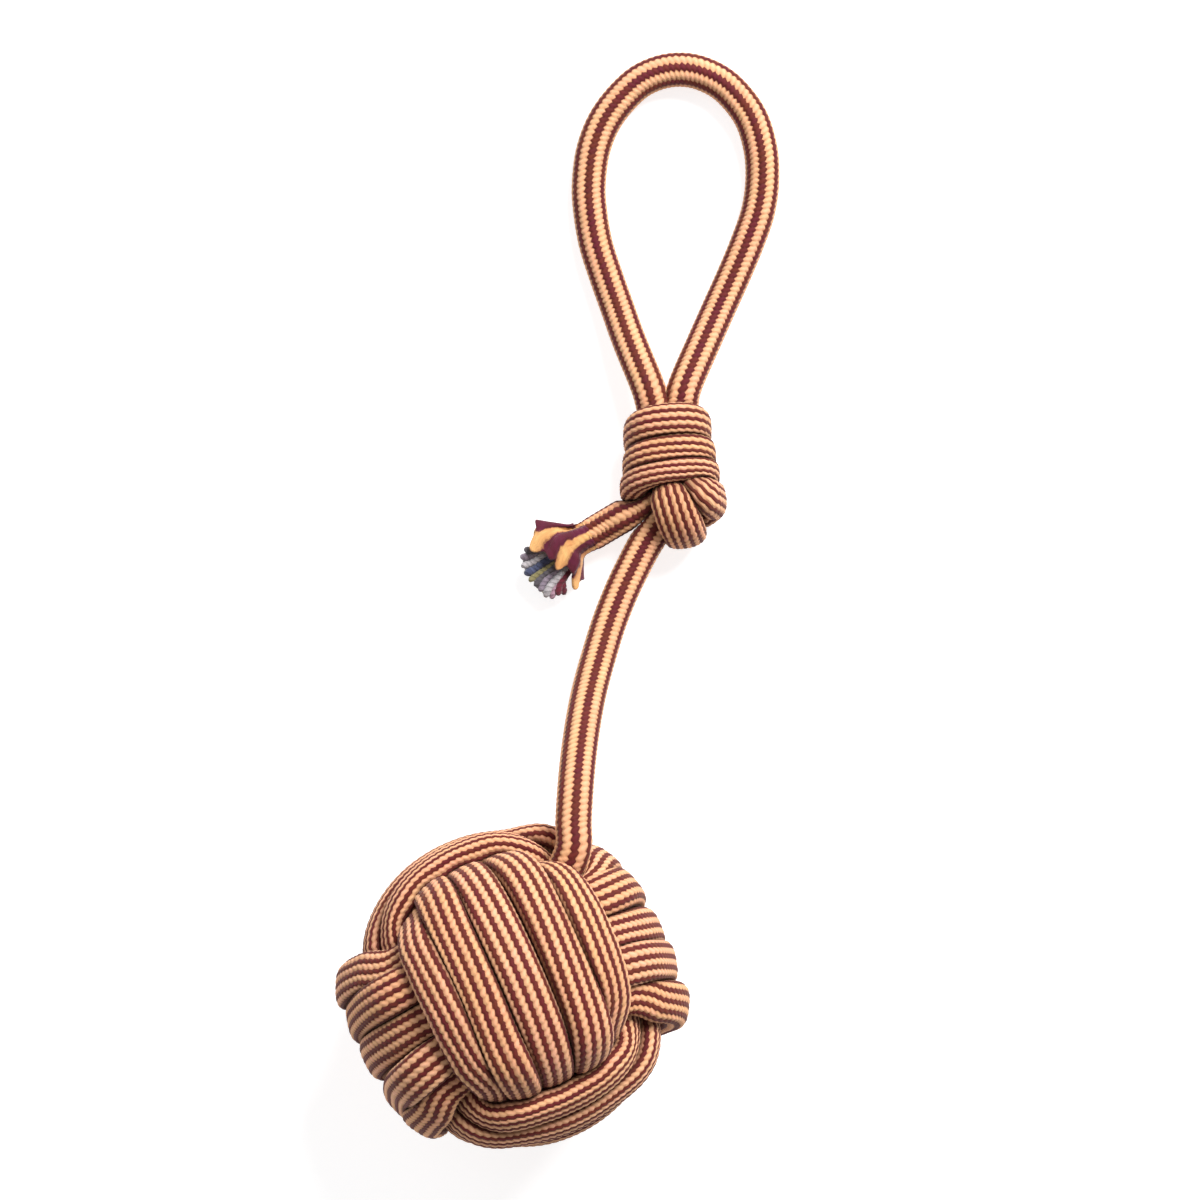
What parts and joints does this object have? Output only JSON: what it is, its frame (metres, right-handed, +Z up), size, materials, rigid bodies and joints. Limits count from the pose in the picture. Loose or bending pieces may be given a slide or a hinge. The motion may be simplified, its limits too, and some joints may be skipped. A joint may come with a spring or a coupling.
{
  "type": "monkey fist knot",
  "caption": "Round woven rope knot tied over a core ball, with a rope tether, a barrel-shaped stopper knot, a hand loop and a frayed tail.",
  "frame": {"origin": "under the middle of the object's outline, on the surface that it lies on", "axes": "+Y runs from the woven ball to the hand loop, +Z is up from the surface, +X is to the right of the picture, which looks straight down"},
  "size_m": [0.1476, 0.3662, 0.1068],
  "materials": {
    "knitted_rope": "knitted cover in lengthwise burgundy and cream stripes",
    "knitted_rope_cream": "the same knitted cover, unravelled",
    "core_yarn": "loose twisted yarns, grey, white and navy",
    "rubber_core": "matte, out of sight"
  },
  "bodies": {
    "ball": {"core_ball": "rubber_core", "front_wrap_1": "knitted_rope", "front_wrap_2": "knitted_rope", "front_wrap_3": "knitted_rope", "front_wrap_4": "knitted_rope", "front_wrap_5": "knitted_rope", "top_wrap_1": "knitted_rope", "top_wrap_2": "knitted_rope", "top_wrap_3": "knitted_rope", "top_wrap_4": "knitted_rope", "top_wrap_5": "knitted_rope", "side_wrap_1": "knitted_rope", "side_wrap_2": "knitted_rope", "side_wrap_3": "knitted_rope", "side_wrap_4": "knitted_rope", "side_wrap_5": "knitted_rope", "tether_root": "knitted_rope"},
    "tether_lower": {"tether_lower": "knitted_rope"},
    "tether_upper": {"tether_upper": "knitted_rope"},
    "knot": {"barrel_turn_1": "knitted_rope", "barrel_turn_2": "knitted_rope", "barrel_turn_3": "knitted_rope", "knot_inner_strand_left": "knitted_rope", "knot_inner_strand_right": "knitted_rope", "knot_crossing_strand": "knitted_rope", "knot_side_strand": "knitted_rope", "tether_in_knot": "knitted_rope", "tail_in_knot": "knitted_rope"},
    "loop_legs": {"loop_leg_left": "knitted_rope", "loop_leg_right": "knitted_rope"},
    "loop_bow": {"loop_bow": "knitted_rope"},
    "tail": {"tail": "knitted_rope", "tail_cover_flare": "knitted_rope_cream", "tail_core_yarns": "core_yarn"}
  },
  "joints": [
    {"name": "tether_lift", "type": "hinge", "parent": "ball", "child": "tether_lower", "pos_m": [0.00342, -0.08494, 0.068], "axis": [1, 0, 0], "range_deg": [0, 85]},
    {"name": "tether_swing", "type": "hinge", "parent": "tether_lower", "child": "tether_upper", "pos_m": [0.00835, -0.03603, 0.03644], "axis": [0, 0, 1], "range_deg": [-35, 35]},
    {"name": "knot_lift", "type": "hinge", "parent": "tether_upper", "child": "knot", "pos_m": [0.02712, 0.01386, 0.013], "axis": [1, 0, 0], "range_deg": [0, 60]},
    {"name": "loop_lift", "type": "hinge", "parent": "knot", "child": "loop_legs", "pos_m": [0.03462, 0.06916, 0.015], "axis": [1, 0, 0], "range_deg": [0, 70]},
    {"name": "loop_fold", "type": "hinge", "parent": "loop_legs", "child": "loop_bow", "pos_m": [0.03762, 0.12856, 0.006], "axis": [1, 0, 0], "range_deg": [0, 85]},
    {"name": "tail_lift", "type": "hinge", "parent": "knot", "child": "tail", "pos_m": [0.01972, 0.02396, 0.0122], "axis": [-0.483, 0.8756, 0], "range_deg": [0, 45]}
  ]
}
